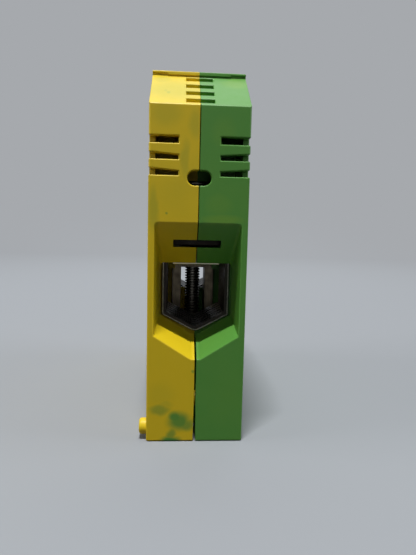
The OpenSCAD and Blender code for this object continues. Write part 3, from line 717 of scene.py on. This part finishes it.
def painted_board(look):
    """Painted board: matt, with a faint tooth. As it is seen it is pale, and fades to one even tone
    far from the lamps. The light that it throws on the block is weaker."""
    material, tree, shader, place = new_material("painted_board")
    tooth = add_node(
        tree, "ShaderNodeTexNoise", {"Vector": place, "Scale": 1 / TOOTH, "Detail": 2})
    relief = add_node(
        tree, "ShaderNodeBump",
        {"Height": tooth.outputs["Fac"], "Strength": 0.1, "Distance": TOOTH_DEPTH})
    tree.links.new(relief.outputs[0], shader.inputs["Normal"])
    seen = seen_rays(tree)
    paint = add_node(
        tree, "ShaderNodeMix",
        {MIX_FACTOR: seen, MIX_FIRST: look.floor_bounce, MIX_SECOND: look.floor},
        data_type="RGBA")
    away = add_node(tree, "ShaderNodeVectorMath", {0: place}, operation="LENGTH")
    far = add_node(
        tree, "ShaderNodeMapRange",
        {"Value": away.outputs["Value"], "From Min": FADE_START, "From Max": FADE_END},
        interpolation_type="SMOOTHSTEP")
    fade = add_node(
        tree, "ShaderNodeMath", {0: seen, 1: far.outputs[0]}, operation="MULTIPLY").outputs[0]
    lit = add_node(
        tree, "ShaderNodeMix",
        {MIX_FACTOR: fade, MIX_FIRST: paint.outputs[MIX_RESULT], MIX_SECOND: linear("#000000")},
        data_type="RGBA")
    tree.links.new(lit.outputs[MIX_RESULT], shader.inputs["Base Color"])
    tree.links.new(fade, shader.inputs["Emission Strength"])
    shader.inputs["Emission Color"].default_value = look.surround
    shader.inputs["Roughness"].default_value = 0.6
    shader.inputs["Specular IOR Level"].default_value = 0
    material.cycles.emission_sampling = "NONE"
    return material


def lay_floor(scene, look):
    """Lays the floor, which curves up into a backdrop."""
    bm = bmesh.new()
    bmesh.ops.create_grid(bm, x_segments=1, y_segments=1, size=FLOOR_REACH)
    back = [e for e in bm.edges if all(v.co.y > 0 for v in e.verts)]
    raised = bmesh.ops.extrude_edge_only(bm, edges=back)["geom"]
    bmesh.ops.translate(
        bm, verts=[g for g in raised if isinstance(g, bmesh.types.BMVert)],
        vec=(0, 0, BACKDROP_RISE))
    bmesh.ops.translate(bm, verts=bm.verts, vec=(0, BACKDROP_Y - FLOOR_REACH, 0))
    bmesh.ops.bevel(
        bm, geom=back, offset=CURVE_R, offset_type="OFFSET", segments=CURVE_SEGMENTS, profile=0.5,
        affect="EDGES", material=-1)
    bmesh.ops.recalc_face_normals(bm, faces=bm.faces)
    for face in bm.faces:
        face.smooth = True
    mesh = bpy.data.meshes.new("sweep")
    bm.to_mesh(mesh)
    bm.free()
    mesh.materials.append(painted_board(look))
    sweep = bpy.data.objects.new("sweep", mesh)
    scene.collection.objects.link(sweep)


def hang_lamps(scene, look):
    """Hangs the lamps. A narrow panel overhead casts crisp shadows under the edges, and broad ones
    all round soften them and give the plastic its sheen."""
    for name, size, watts, place, aim in (
            ("overhead_panel", (0.2, 0.015), look.key_power, (-0.06, -0.232, 1.0), BLOCK),
            ("front_panel", (0.8, 0.5), look.front_power, (-0.2, -0.95, 0.35), BLOCK),
            ("back_panel", (0.7, 0.5), look.back_power, (0.04, 0.45, 0.92), BLOCK),
            ("left_panel", (0.5, 0.5), look.side_power, (-1.0, -0.05, 0.45), BLOCK),
            ("right_panel", (0.5, 0.5), look.side_power, (1.0, -0.05, 0.45), BLOCK),
            ("backdrop_panel", (1.2, 0.3), look.backdrop_power, (0.15, 0.45, 1.15), BACKDROP)):
        lamp = bpy.data.lights.new(name, "AREA")
        lamp.shape = "RECTANGLE"
        lamp.size, lamp.size_y = size
        lamp.energy = watts
        panel = bpy.data.objects.new(name, lamp)
        panel.location = place
        toward = aim - panel.location
        # A panel at a side turns to the block. The rest tilt about X alone, along its front
        if abs(toward.x) < abs(toward.y) + abs(toward.z):
            toward.x = 0
        panel.rotation_euler = toward.to_track_quat("-Z", "Y").to_euler()
        scene.collection.objects.link(panel)


def fill_world(scene, look):
    """Fills the world with weak light from all round. As it is seen, it has the surround's tone."""
    world = bpy.data.worlds.new("studio_fill")
    world.use_nodes = True
    tree = world.node_tree
    tree.nodes.clear()
    shade = add_node(
        tree, "ShaderNodeMix",
        {MIX_FACTOR: seen_rays(tree), MIX_FIRST: [look.fill] * 3 + [1.0],
         MIX_SECOND: look.surround},
        data_type="RGBA")
    sky = add_node(
        tree, "ShaderNodeBackground", {"Color": shade.outputs[MIX_RESULT], "Strength": 1.0})
    add_node(tree, "ShaderNodeOutputWorld", {"Surface": sky.outputs["Background"]})
    scene.world = world


def place_camera(scene, look):
    """Places the camera in front of the block."""
    data = bpy.data.cameras.new("camera")
    data.lens = look.lens
    data.clip_start = 5 * MM
    camera = bpy.data.objects.new("camera", data)
    yaw, pitch, roll = look.camera_turn
    camera.matrix_world = (
        Matrix.Translation(look.camera_place) @ Matrix.Rotation(-yaw, 4, "Z")
        @ Matrix.Rotation(math.pi / 2 - pitch, 4, "X") @ Matrix.Rotation(-roll, 4, "Z"))
    scene.collection.objects.link(camera)
    scene.camera = camera


class TERMINAL_OT_stage(bpy.types.Operator):
    """Lay the floor with its curved backdrop, and place the light and the camera"""
    bl_idname = "terminal.stage"
    bl_label = "Stage"

    def execute(self, context):
        scene = context.scene
        for step in (lay_floor, hang_lamps, fill_world, place_camera):
            step(scene, scene.terminal_stage)
        scene.view_settings.view_transform = "Standard"
        return {"FINISHED"}


class TERMINAL_PT_panel(bpy.types.Panel):
    """Sidebar panel with the block's pieces, sizes and colours"""
    bl_idname = "TERMINAL_PT_panel"
    bl_label = "Earth terminal block"
    bl_space_type = "VIEW_3D"
    bl_region_type = "UI"
    bl_category = "Terminal block"

    def draw(self, context):
        for group in GROUPS:
            column = self.layout.column()
            settings = getattr(context.scene, group)
            for name in settings.bl_rna.properties.keys():
                if name not in {"rna_type", "name"}:
                    column.prop(settings, name)
        for operator in OPERATORS:
            self.layout.operator(operator.bl_idname)


GROUPS = {
    "terminal_housing": HousingLook, "terminal_metal": MetalLook,
    "terminal_threads": ThreadSizes, "terminal_stage": StageLook,
}
OPERATORS = (
    TERMINAL_OT_housing_shells, TERMINAL_OT_clamp_sleeves, TERMINAL_OT_screws,
    TERMINAL_OT_current_bar, TERMINAL_OT_rail_foot, TERMINAL_OT_stage,
)


def register():
    """Registers the classes and hangs the settings on the scene."""
    for cls in (*GROUPS.values(), *OPERATORS, TERMINAL_PT_panel):
        bpy.utils.register_class(cls)
    for name, group in GROUPS.items():
        setattr(bpy.types.Scene, name, bpy.props.PointerProperty(type=group))


def unregister():
    """Takes the settings off the scene and unregisters the classes."""
    for name in GROUPS:
        delattr(bpy.types.Scene, name)
    for cls in (TERMINAL_PT_panel, *reversed(OPERATORS), *reversed(GROUPS.values())):
        bpy.utils.unregister_class(cls)


def main():
    """Builds the block and its stage."""
    register()
    bpy.ops.terminal.housing_shells()
    bpy.ops.terminal.clamp_sleeves()
    bpy.ops.terminal.screws()
    bpy.ops.terminal.current_bar()
    bpy.ops.terminal.rail_foot()
    bpy.ops.terminal.stage()


if __name__ == "__main__":
    main()
